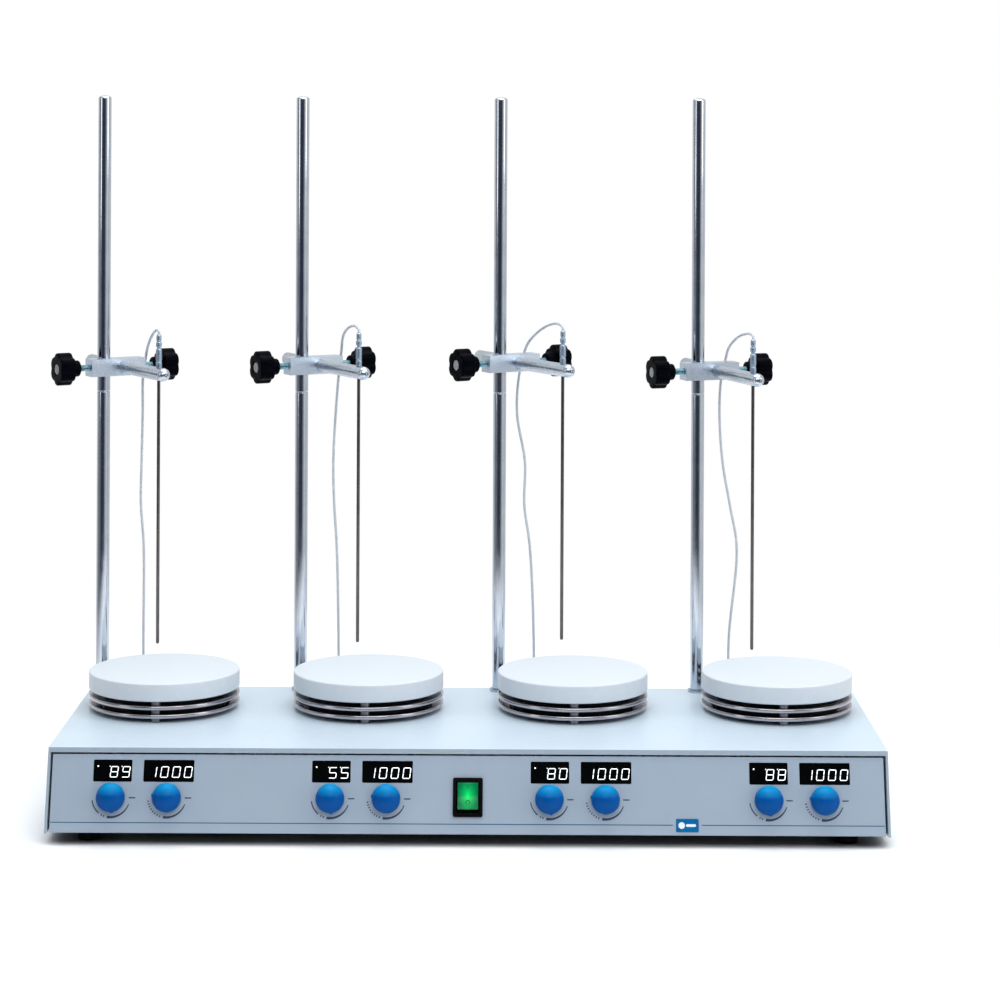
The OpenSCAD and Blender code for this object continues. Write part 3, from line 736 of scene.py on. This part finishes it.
def build_probes():
    """Thin sheath with its stepped gland, above which the cable starts."""
    for i in PLACES:
        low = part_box(f"probe_{i}")[0]
        x, y = probe_spot(i)
        matrix = Matrix.Translation((x, y, HEAD_AT[i].z))
        tip = (low.z - HEAD_AT[i].z) / MM
        sheath = [(0, tip), (0.8, tip + 0.15), (1.3, tip + 0.6), (1.5, tip + 1.5), (1.5, 8)]
        rod = lathe(f"probe_sheath_{i}", [sheath], matrix, 28)
        finish_piece(rod, PROBE_STEEL, f"probe_{i}", [f"probe_{i}"])
        steps = [(1.5, 6), (2.75, 6), (2.75, 10.5), (2.4, 11), (2.4, 12), (2.75, 12.5),
                 (2.75, 22), (1.7, 23), (1.7, 24.5), (2.6, 24.8), (2.6, 28.6), (1.9, 29),
                 (1.9, 30), (2.3, 30.4), (2.3, 35), (1.2, 36), (1.2, 36)]
        gland = lathe(f"probe_gland_{i}", [rounded_rows(steps, 0.3, 3)], matrix, 40)
        finish_piece(gland, GLAND_STEEL, f"probe_{i}")


def build_set_screws():
    """Small socket screw in the rounded tip of each bar, which holds the probe."""
    for i in PLACES:
        points = [v.co - HEAD_AT[i] for v in frame["nodes"][f"probe_arm_{i}"].data.vertices]
        tip = max(p.dot(AHEAD[i]) for p in points)
        across = [p.dot(ALONG[i]) for p in points]
        middle = (min(across) + max(across)) / 2
        origin = HEAD_AT[i] + ALONG[i] * middle + AHEAD[i] * (tip - 0.6 * MM)
        rows = [(0, -1.0), (0.8, -1.0), (0.8, 0.55), (1.5, 0.5), (1.7, 0.3), (1.7, -0.5)]
        screw = lathe(f"probe_set_screw_{i}", [rows], axis_matrix(origin, AHEAD[i]), 24)
        finish_piece(screw, DARK_PARTS, f"probe_arm_{i}")


BACK_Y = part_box("top_cover")[1].y
CABLE_R = 1.2
CABLE_STEPS = 14
# Way of each cable over the head: right of the rod, behind the rod, above the head's middle
CABLE_OVER = {
    1: ((56.5, -54, 39), (49, -28, 33), (40.5, 4, 20), (35, 31, 8)),
    2: ((53, -56, 41), (45.5, -30, 38), (38, 4, 27), (34.6, 31, 9.5)),
    3: ((53.5, -57, 41), (45, -36, 38.5), (32, 0, 26), (23.5, 31, 9.5)),
    4: ((42.5, -66, 40), (36, -40, 36.5), (29.5, -3, 24), (28.3, 31, 9)),
}
# Way of each cable down the back: distance right of the rod at each height above the bench
CABLE_HEIGHTS = (363, 330, 285, 245, 205)
CABLE_DOWN = {
    1: (31.6, 31.5, 30.7, 30.2, 33),
    2: (31.8, 29.4, 27.4, 28.4, 31),
    3: (17.6, 16.4, 24, 23.6, 29),
    4: (24.4, 23.2, 26.4, 33.4, 40),
}
CABLE_BEHIND = 24
CABLE_LOW = 120
SOCKET_LEFT = 34
SOCKET_UP = 7


def cable_line(i):
    """Points of the cable in four stretches, from the probe to the plug at the back."""
    def behind(at_x, further, at_z):
        return Vector((at_x, BACK_Y + (CABLE_BEHIND + further) * MM, at_z))
    h = HEAD_AT[i]
    x, y = probe_spot(i)
    top = Vector((x, y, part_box(f"probe_{i}")[1].z))
    end_x = place_x(i) - SOCKET_LEFT * MM
    end_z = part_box("probe_sockets")[0].z + SOCKET_UP * MM
    over = [h + Vector(p) * MM for p in CABLE_OVER[i]]
    down = [behind(h.x + right * MM, 0, height * MM)
            for right, height in zip(CABLE_DOWN[i], CABLE_HEIGHTS)]
    end = [behind(end_x, 1, CABLE_LOW * MM), behind(end_x, 2, end_z + 22 * MM),
           behind(end_x, 0, end_z + 6 * MM), behind(end_x, -6, end_z)]
    rise = [top - Z_AXIS * 2 * MM, top + Z_AXIS * 2 * MM]
    return rise + over[:2], over[2:] + down[:1], down[1:4], down[4:] + end


def build_cables():
    """One cord cut into four stretches, from probe to housing."""
    for i in PLACES:
        stretches = cable_line(i)
        line = spline([p for part in stretches for p in part], CABLE_STEPS)
        cuts, count = [0], 0
        for part in stretches:
            count += len(part)
            cuts.append(min(count * CABLE_STEPS, len(line) - 1))
        for k in range(4):
            piece = tube(f"cable_{i}_{k + 1}", line[cuts[k]:cuts[k + 1] + 1], CABLE_R)
            piece.data.materials.append(CABLE_GREY)
            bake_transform(piece)
            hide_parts(f"probe_cable_{i}")
        corners = [(1.2, 4), (2.2, 3), (2.6, -2), (4.2, -3), (4.2, -15.5), (0, -15.5)]
        matrix = axis_matrix(line[-1], Y_AXIS)
        plug = lathe(f"cable_plug_{i}", [rounded_rows(corners, 0.6)], matrix, 40)
        finish_piece(plug, SWITCH_BLACK, "housing")


# ---------------------------------------------------------------- control panel

KNOB_R = 12.0
DOME_R = 12.5
TEMP_TURN = 187.0
SPEED_TURN = 80.0


def build_knobs():
    for i in PLACES:
        for kind, turn in (("temp", TEMP_TURN), ("speed", SPEED_TURN)):
            height = 14.0
            centre = height - DOME_R
            edge = math.acos((5 - centre) / DOME_R)
            rows = [(5, 0.3), (10.6, 0), (11.7, 0.5), (KNOB_R, 1.4), (KNOB_R, 3.4), (KNOB_R, 5)]
            rows += [(DOME_R * math.sin(a), centre + DOME_R * math.cos(a))
                     for a in [edge * (1 - k / 22) for k in range(1, 23)]]
            rows[-1] = (0, height)
            pointer = math.radians(turn + 90)

            def outline(angle, r, z, pointer=pointer):
                off = (angle - pointer + math.pi) % (2 * math.pi) - math.pi
                bump = math.exp(-(off / math.radians(7)) ** 2)
                fade = max(0.0, min(1.0, (9 - z) / 5)) * max(0.0, min(1.0, (r - 8) / 3))
                return r + 1.0 * bump * fade
            joint = f"{kind}_knob_turn_{i}"
            matrix = axes_matrix(joint_at(joint) + PANEL_OUT * MM, X_AXIS, PANEL_UP, PANEL_OUT)
            knob = lathe(f"{kind}_control_{i}", [rows], matrix, 144, outline)
            finish_piece(knob, KNOB_BLUE, f"{kind}_knob_{i}", [f"{kind}_knob_{i}"])


# Segments of a digit, named as on data sheets, for each figure
SEGMENTS = {
    "0": "abcdef", "1": "bc", "5": "acdfg", "8": "abcdefg", "9": "abcdfg",
}
DIGIT_W, DIGIT_H, STROKE = 6.5, 9.2, 0.66
SLANT = math.tan(math.radians(7))
DIGIT_PITCH = 9.95
DIGIT_ROW = -0.95
LIT_LAYER = (-0.18, -0.12)
READINGS = {1: "89", 2: "55", 3: "80", 4: "88"}
WINDOW_UP = 22.05
TEMP_WINDOW = (-23.05, 32.5)
SPEED_WINDOW = (24.2, 42.6)


def segment_outline(letter):
    """Six-cornered outline of one lit segment, before the slant."""
    w, h, s = DIGIT_W / 2 - STROKE / 2, DIGIT_H / 2 - STROKE / 2, STROKE / 2
    gap = 0.16
    ends = {
        "a": ((-w, h), (w, h)), "g": ((-w, 0), (w, 0)), "d": ((-w, -h), (w, -h)),
        "f": ((-w, 0), (-w, h)), "b": ((w, 0), (w, h)),
        "e": ((-w, -h), (-w, 0)), "c": ((w, -h), (w, 0)),
    }[letter]
    (x0, y0), (x1, y1) = ends
    if y0 == y1:
        x0, x1 = x0 + gap, x1 - gap
        return [(x0, y0), (x0 + s, y0 - s), (x1 - s, y0 - s), (x1, y0),
                (x1 - s, y0 + s), (x0 + s, y0 + s)]
    y0, y1 = y0 + gap, y1 - gap
    return [(x0, y0), (x0 + s, y0 + s), (x0 + s, y1 - s), (x0, y1),
            (x0 - s, y1 - s), (x0 - s, y0 + s)]


def figure_mesh(figure, cx, cy):
    meshes = []
    for letter in SEGMENTS[figure]:
        outline = [(cx + x + (y + DIGIT_H / 2) * SLANT, cy + y)
                   for x, y in segment_outline(letter)]
        meshes.append(prism_mesh(outline, *LIT_LAYER))
    return meshes


def build_displays():
    """Lit figures just in front of each black window."""
    for i in PLACES:
        for kind, (offset, width), text in (
                ("temp", TEMP_WINDOW, READINGS[i]), ("speed", SPEED_WINDOW, "1000")):
            last = width / 2 - 1.2 - DIGIT_H * SLANT - DIGIT_W / 2
            meshes = []
            for k, figure in enumerate(reversed(text)):
                cx = last - k * DIGIT_PITCH
                meshes += figure_mesh(figure, cx, DIGIT_ROW)
                if kind == "temp":
                    left, top = cx - DIGIT_W / 2, DIGIT_ROW + DIGIT_H / 2
                    mark = arc_points(left + 0.2, top - 0.1, 0.4, 0, 330, 11)
                    meshes.append(prism_mesh(mark, *LIT_LAYER))
            if kind == "temp":
                dot = arc_points(3.8 - width / 2, 3.7, 0.65, 0, 345, 23)
                meshes.append(prism_mesh(dot, *LIT_LAYER))
            matrix = panel_matrix(place_x(i) + offset * MM, WINDOW_UP * MM)
            shown = mesh_object(f"{kind}_figures_{i}", *joined(meshes), matrix=matrix)
            finish_piece(shown, DIGITS, "housing")


ROCKER_HALF, ROCKER_W = 11.2, 17.3
ROCKER_TILT_DEG = 7
ROCKER_RIM = 0.35


def build_switch():
    """Hollowed rocker, tilted to on, with its I and O marks."""
    tilt = Matrix.Rotation(math.radians(-ROCKER_TILT_DEG), 4, "X")
    pivot = joint_at("power_rocker_tilt")
    matrix = axes_matrix(pivot, X_AXIS, PANEL_UP, PANEL_OUT) @ tilt
    half, side = ROCKER_HALF, ROCKER_W / 2

    def on_face(y):
        return 6.7 + 1.75 * (abs(y) / (half - 0.8)) ** 1.3
    face = [(y, on_face(y)) for y in [(half - 0.8) * (1 - k / 8) for k in range(17)]]
    profile = [(half - 2.3, -2), (half, 7.8), (half - 0.2, 8.35)] + face
    profile += [(-half + 0.2, 8.35), (-half, 7.8), (-half + 2.3, -2)]
    points, faces = [], []
    n = len(profile)
    for x, inset in ((-side, ROCKER_RIM), (-side + ROCKER_RIM, 0), (side - ROCKER_RIM, 0),
                     (side, ROCKER_RIM)):
        for y, z in profile:
            points.append(Vector((x, y * (1 - inset / half), z - inset)) * MM)
    for band in range(3):
        for k in range(n):
            after = (k + 1) % n
            a, b = band * n, (band + 1) * n
            faces.append((a + k, a + after, b + after, b + k))
    faces.append(tuple(range(n))[::-1])
    faces.append(tuple(range(3 * n, 4 * n)))
    rocker = mesh_object("rocker", points, faces, matrix)
    finish_piece(rocker, ROCKER_GREEN, "power_rocker", ["power_rocker"])
    bar = prism_mesh([(-0.35, 6.2), (0.35, 6.2), (0.35, 9.4), (-0.35, 9.4)],
                     on_face(7.8) - 0.3, on_face(7.8) + 0.28)
    ring_y = 5.2
    ring = []
    for k in range(32):
        a, b = 2 * math.pi * k / 32, 2 * math.pi * (k + 1) / 32
        quad = [(math.cos(t) * r, -ring_y + math.sin(t) * r)
                for t, r in ((a, 1.3), (a, 2.0), (b, 2.0), (b, 1.3))]
        ring.append(prism_mesh(quad, on_face(ring_y) - 0.3, on_face(ring_y) + 0.3))
    marks = mesh_object("rocker_marks", *joined([bar] + ring), matrix=matrix)
    finish_piece(marks, ROCKER_MARK, "power_rocker")


def arc_band(r, start_deg, end_deg, width_start, width_end, steps):
    """Outline of a printed arc whose width changes evenly along it."""
    inner, outer = [], []
    for k in range(steps + 1):
        t = k / steps
        a = math.radians(start_deg + (end_deg - start_deg) * t)
        half = (width_start + (width_end - width_start) * t) / 2
        inner.append(((r - half) * math.cos(a), (r - half) * math.sin(a)))
        outer.append(((r + half) * math.cos(a), (r + half) * math.sin(a)))
    return inner + outer[::-1]


def strip_prism(outline, z0, z1):
    """A prism over a band outline, made of quads so that a curved band stays flat and clean."""
    half = len(outline) // 2
    quads = []
    for k in range(half - 1):
        quad = [outline[k], outline[k + 1], outline[-k - 2], outline[-k - 1]]
        area = sum(a[0] * b[1] - b[0] * a[1] for a, b in zip(quad, quad[1:] + quad[:1]))
        quads.append(prism_mesh(quad if area > 0 else quad[::-1], z0, z1))
    return joined(quads)


PRINT_LOW, PRINT_HIGH = -0.05, 0.05
SCALE_R = 15.9
LINE_DOWN = -20.26
BADGE_X = 184.0
BADGE_W, BADGE_H = 19.0, 10.8


def printed_arc(start_deg, end_deg, width_start, width_end, steps=24):
    band = arc_band(SCALE_R, start_deg, end_deg, width_start, width_end, steps)
    return strip_prism(band, PRINT_LOW, PRINT_HIGH)


def build_scales():
    """Printed scale round each knob: a tapering wedge, a row of ticks and a short off mark."""
    for i in PLACES:
        for kind in ("temp", "speed"):
            x = joint_at(f"{kind}_knob_turn_{i}").x
            meshes = [printed_arc(-100, -19, 2.2, 0.8)]
            if kind == "temp":
                meshes.append(printed_arc(-172, -128, 1.0, 1.0, 12))
                ticks = [-118, -110]
            else:
                ticks = [-170 + 8.5 * k for k in range(8)]
            meshes += [printed_arc(tick - 1.8, tick + 1.8, 1.5, 1.5, 2) for tick in ticks]
            dash = rounded_rect(5.6, 1.0, 0.45, 3)
            meshes.append(prism_mesh([(px + 17.6, py) for px, py in dash], PRINT_LOW, PRINT_HIGH))
            print_piece = mesh_object(f"{kind}_scale_{i}", *joined(meshes), matrix=panel_matrix(x))
            finish_piece(print_piece, PRINT_GREY, "housing")


def build_panel_line():
    """Thin line across the foot of the panel, broken by the badge."""
    low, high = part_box("front_panel")
    left, right = low.x / MM + 0.6, high.x / MM - 0.6
    gap = BADGE_W / 2 + 2.6
    meshes = []
    for x0, x1 in ((left, BADGE_X - gap), (BADGE_X + gap, right)):
        meshes.append(prism_mesh([(x0, -0.35), (x1, -0.35), (x1, 0.35), (x0, 0.35)],
                                 PRINT_LOW, PRINT_HIGH))
    line = mesh_object("panel_line", *joined(meshes), matrix=panel_matrix(0, LINE_DOWN * MM))
    finish_piece(line, PINSTRIPE, "housing")


def build_badge():
    """Plain blue plate with a generic sign: a plate and a stir bar."""
    matrix = panel_matrix(BADGE_X * MM, (LINE_DOWN - 0.2) * MM)
    plate = mesh_object("badge_plate", *prism_mesh(rounded_rect(BADGE_W, BADGE_H, 0.9), 0, 0.5),
                        matrix=matrix)
    soften(plate, 0.2, 2)
    finish_piece(plate, BADGE_BLUE, "housing")
    disc = [(x - 4.8, y) for x, y in arc_points(0, 0, 2.7, 0, 350, 35)]
    bar = [(x + 3.0, y) for x, y in rounded_rect(8.4, 2.2, 1.05, 6)]
    meshes = [prism_mesh(disc, 0.4, 0.58), prism_mesh(bar, 0.4, 0.58)]
    sign = mesh_object("badge_sign", *joined(meshes), matrix=matrix)
    finish_piece(sign, BADGE_WHITE, "housing")


# ---------------------------------------------------------------- back and underside

SCREW_STEP = 0.03
PROUD = 1e-4


def screw_spots():
    """Centre and outward direction of each cover screw, from the CAD points of its head."""
    low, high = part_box("top_cover")
    spots = {}
    for v in frame["nodes"]["cover_screws"].data.vertices:
        x, y = v.co.x, v.co.y
        if x > high.x + PROUD:
            spot = ("x", 1, round(y / SCREW_STEP))
        elif x < low.x - PROUD:
            spot = ("x", -1, round(y / SCREW_STEP))
        elif y > high.y + PROUD:
            spot = ("y", 1, round(x / SCREW_STEP))
        else:
            continue
        spots.setdefault(spot, []).append(v.co.copy())
    found = []
    for spot, points in sorted(spots.items()):
        middle = sum(points, Vector()) / len(points)
        if spot[0] == "x":
            middle.x = high.x * spot[1]
            found.append((middle, X_AXIS * spot[1]))
        else:
            middle.y = high.y
            found.append((middle, Y_AXIS))
    return found


def build_cover_screws():
    for k, (spot, out) in enumerate(screw_spots()):
        rows = [(0, 0.7), (1.0, 0.75), (1.15, 1.75), (1.5, 1.8), (2.3, 1.5), (2.85, 0.9), (3.0, 0)]
        screw = lathe(f"cover_screw_{k + 1}", [rows], axis_matrix(spot, out), 36)
        finish_piece(screw, ZINC, "housing", ["cover_screws"])


# ---------------------------------------------------------------- stage, light and camera

FLOOR_HALF = 6.0
CONTACT_REACH = 0.02
CONTACT_DARK, CONTACT_PALE = 0.25, 0.6
WHITE_FROM, WHITE_TO = 0.6, 1.1


def build_floor():
    """Pale floor with a dark contact shadow, which fades into the white background."""
    points = [(x, y, 0) for x, y in ((-1, -1), (1, -1), (1, 1), (-1, 1))]
    floor = mesh_object("floor", [Vector(p) * FLOOR_HALF for p in points], [(0, 1, 2, 3)])
    look = Look("floor_white", (2, 3, 7), rough=0.6)
    look.bsdf.inputs["Specular IOR Level"].default_value = 0.1
    cover = look.node("ShaderNodeAmbientOcclusion", samples=6)
    cover.inputs["Distance"].default_value = CONTACT_REACH
    pale = look.spread(cover.outputs["AO"], 0.0, 1.0, CONTACT_DARK, CONTACT_PALE)
    grain = look.spread(look.noise(300), 0.985, 1.0)
    open_part = look.node("ShaderNodeMath", operation="MULTIPLY")
    look.link(pale, open_part.inputs[0])
    look.link(grain, open_part.inputs[1])
    shade = mix_colours(look.tree, look.colour, linear(247, 249, 251), open_part.outputs["Value"])
    look.link(shade, look.bsdf.inputs["Base Color"])
    reach = look.node("ShaderNodeVectorMath", operation="LENGTH")
    look.link(look.coords, reach.inputs[0])
    fade = look.spread(reach.outputs["Value"], 0.0, 1.0, WHITE_FROM, WHITE_TO)
    white = look.node("ShaderNodeEmission")
    clear = look.node("ShaderNodeBsdfTransparent")
    rays = look.node("ShaderNodeLightPath")
    far = look.node("ShaderNodeMixShader")
    look.link(rays.outputs["Is Camera Ray"], far.inputs["Fac"])
    look.link(clear.outputs["BSDF"], far.inputs[1])
    look.link(white.outputs["Emission"], far.inputs[2])
    mix = look.node("ShaderNodeMixShader")
    look.link(fade, mix.inputs["Fac"])
    look.link(look.bsdf.outputs["BSDF"], mix.inputs[1])
    look.link(far.outputs["Shader"], mix.inputs[2])
    look.link(mix.outputs["Shader"], look.tree.nodes["Material Output"].inputs["Surface"])
    floor.data.materials.append(look.material)


def build_world():
    """White studio with a darker side behind the camera, which is what bare metal mirrors."""
    world = bpy.data.worlds.new("studio")
    bpy.context.scene.world = world
    world.use_nodes = True
    tree = world.node_tree
    nodes, links = tree.nodes, tree.links
    nodes.clear()
    coords = nodes.new("ShaderNodeTexCoord")
    split = nodes.new("ShaderNodeSeparateXYZ")
    links.new(coords.outputs["Generated"], split.inputs["Vector"])

    def remap(value, x0, x1, y0, y1):
        made = nodes.new("ShaderNodeMapRange")
        for name, number in (("From Min", x0), ("From Max", x1), ("To Min", y0), ("To Max", y1)):
            made.inputs[name].default_value = number
        links.new(value, made.inputs["Value"])
        return made.outputs["Result"]

    def combine(operation, a, b):
        made = nodes.new("ShaderNodeMath")
        made.operation = operation
        links.new(a, made.inputs[0])
        links.new(b, made.inputs[1])
        return made.outputs["Value"]
    front = remap(split.outputs["Y"], -0.2, 0.35, 0.04, 1.0)
    right = remap(split.outputs["X"], 0.25, 0.8, 0.0, 0.95)
    left = remap(split.outputs["X"], -0.95, -0.4, 0.32, 0.0)
    up = remap(split.outputs["Z"], 0.35, 0.95, 0.0, 1.0)
    level = combine("MAXIMUM", front, right)
    level = combine("MAXIMUM", level, left)
    level = combine("MAXIMUM", level, up)
    lit = nodes.new("ShaderNodeBackground")
    tint = mix_colours(tree, linear(28, 40, 66), linear(252, 254, 255), level)
    links.new(tint, lit.inputs["Color"])
    lit.inputs["Strength"].default_value = 0.75
    seen = nodes.new("ShaderNodeBackground")
    seen.inputs["Color"].default_value = (1, 1, 1, 1)
    seen.inputs["Strength"].default_value = 1.0
    rays = nodes.new("ShaderNodeLightPath")
    mix = nodes.new("ShaderNodeMixShader")
    out = nodes.new("ShaderNodeOutputWorld")
    links.new(rays.outputs["Is Camera Ray"], mix.inputs["Fac"])
    links.new(lit.outputs["Background"], mix.inputs[1])
    links.new(seen.outputs["Background"], mix.inputs[2])
    links.new(mix.outputs["Shader"], out.inputs["Surface"])


def area_light(name, at, target, size, power, colour=(1, 1, 1)):
    data = bpy.data.lights.new(name, "AREA")
    data.shape = "RECTANGLE"
    data.size, data.size_y = size
    data.energy = power
    data.color = colour
    obj = bpy.data.objects.new(name, data)
    bpy.context.scene.collection.objects.link(obj)
    obj.location = at
    obj.rotation_euler = (Vector(target) - Vector(at)).to_track_quat("-Z", "Y").to_euler()
    return obj


def build_lights():
    area_light("top_softbox", (0.1, 0.1, 1.9), (0, 0, 0), (2.2, 1.4), 24)
    area_light("front_softbox", (0.1, -1.6, 1.5), (0, -0.1, 0.05), (1.8, 0.6), 16)
    area_light("right_softbox", (2.0, -0.9, 1.1), (0, 0, 0.2), (0.8, 1.4), 8)
    area_light("left_softbox", (-2.0, -1.1, 0.9), (0, 0, 0.2), (0.6, 1.2), 4)


CAMERA_AT = Vector((0.0274, -2.354, 0.614))
CAMERA_ROLL_DEG = -0.272
LENS_MM = 95.8
SHIFT = {"shift_x": -0.0037, "shift_y": -0.3871}


def build_camera():
    """A level camera with a shifted lens, which keeps uprights parallel."""
    data = bpy.data.cameras.new("camera")
    camera = bpy.data.objects.new("camera", data)
    bpy.context.scene.collection.objects.link(camera)
    data.sensor_width = 36
    data.lens = LENS_MM
    data.clip_start, data.clip_end = 0.05, 50
    camera.location = CAMERA_AT
    level = Matrix.Rotation(math.radians(90), 4, "X")
    roll = Matrix.Rotation(math.radians(CAMERA_ROLL_DEG), 4, "Y")
    camera.rotation_euler = (roll @ level).to_euler()
    # The lens is shifted only while the camera stands at its own place
    marker = bpy.data.objects.new("camera_place", None)
    bpy.context.scene.collection.objects.link(marker)
    marker.location = CAMERA_AT
    for name, value in SHIFT.items():
        curve = data.driver_add(name)
        curve.driver.type = "SUM"
        distance = curve.driver.variables.new()
        distance.type = "LOC_DIFF"
        distance.targets[0].id = camera
        distance.targets[1].id = marker
        for modifier in list(curve.modifiers):
            curve.modifiers.remove(modifier)
        curve.keyframe_points.clear()
        curve.extrapolation = "CONSTANT"
        for reach, level in ((0.0, value), (0.02, value), (0.04, 0.0)):
            curve.keyframe_points.insert(reach, level).interpolation = "LINEAR"
    bpy.context.scene.camera = camera


dress_cad_nodes()
build_plates()
build_rings()
build_rods()
build_heads()
build_probes()
build_set_screws()
build_cables()
build_knobs()
build_displays()
build_switch()
build_scales()
build_panel_line()
build_badge()
build_cover_screws()
build_floor()
build_world()
build_lights()
build_camera()
bpy.context.scene.view_settings.view_transform = "Standard"

bpy.context.view_layer.update()
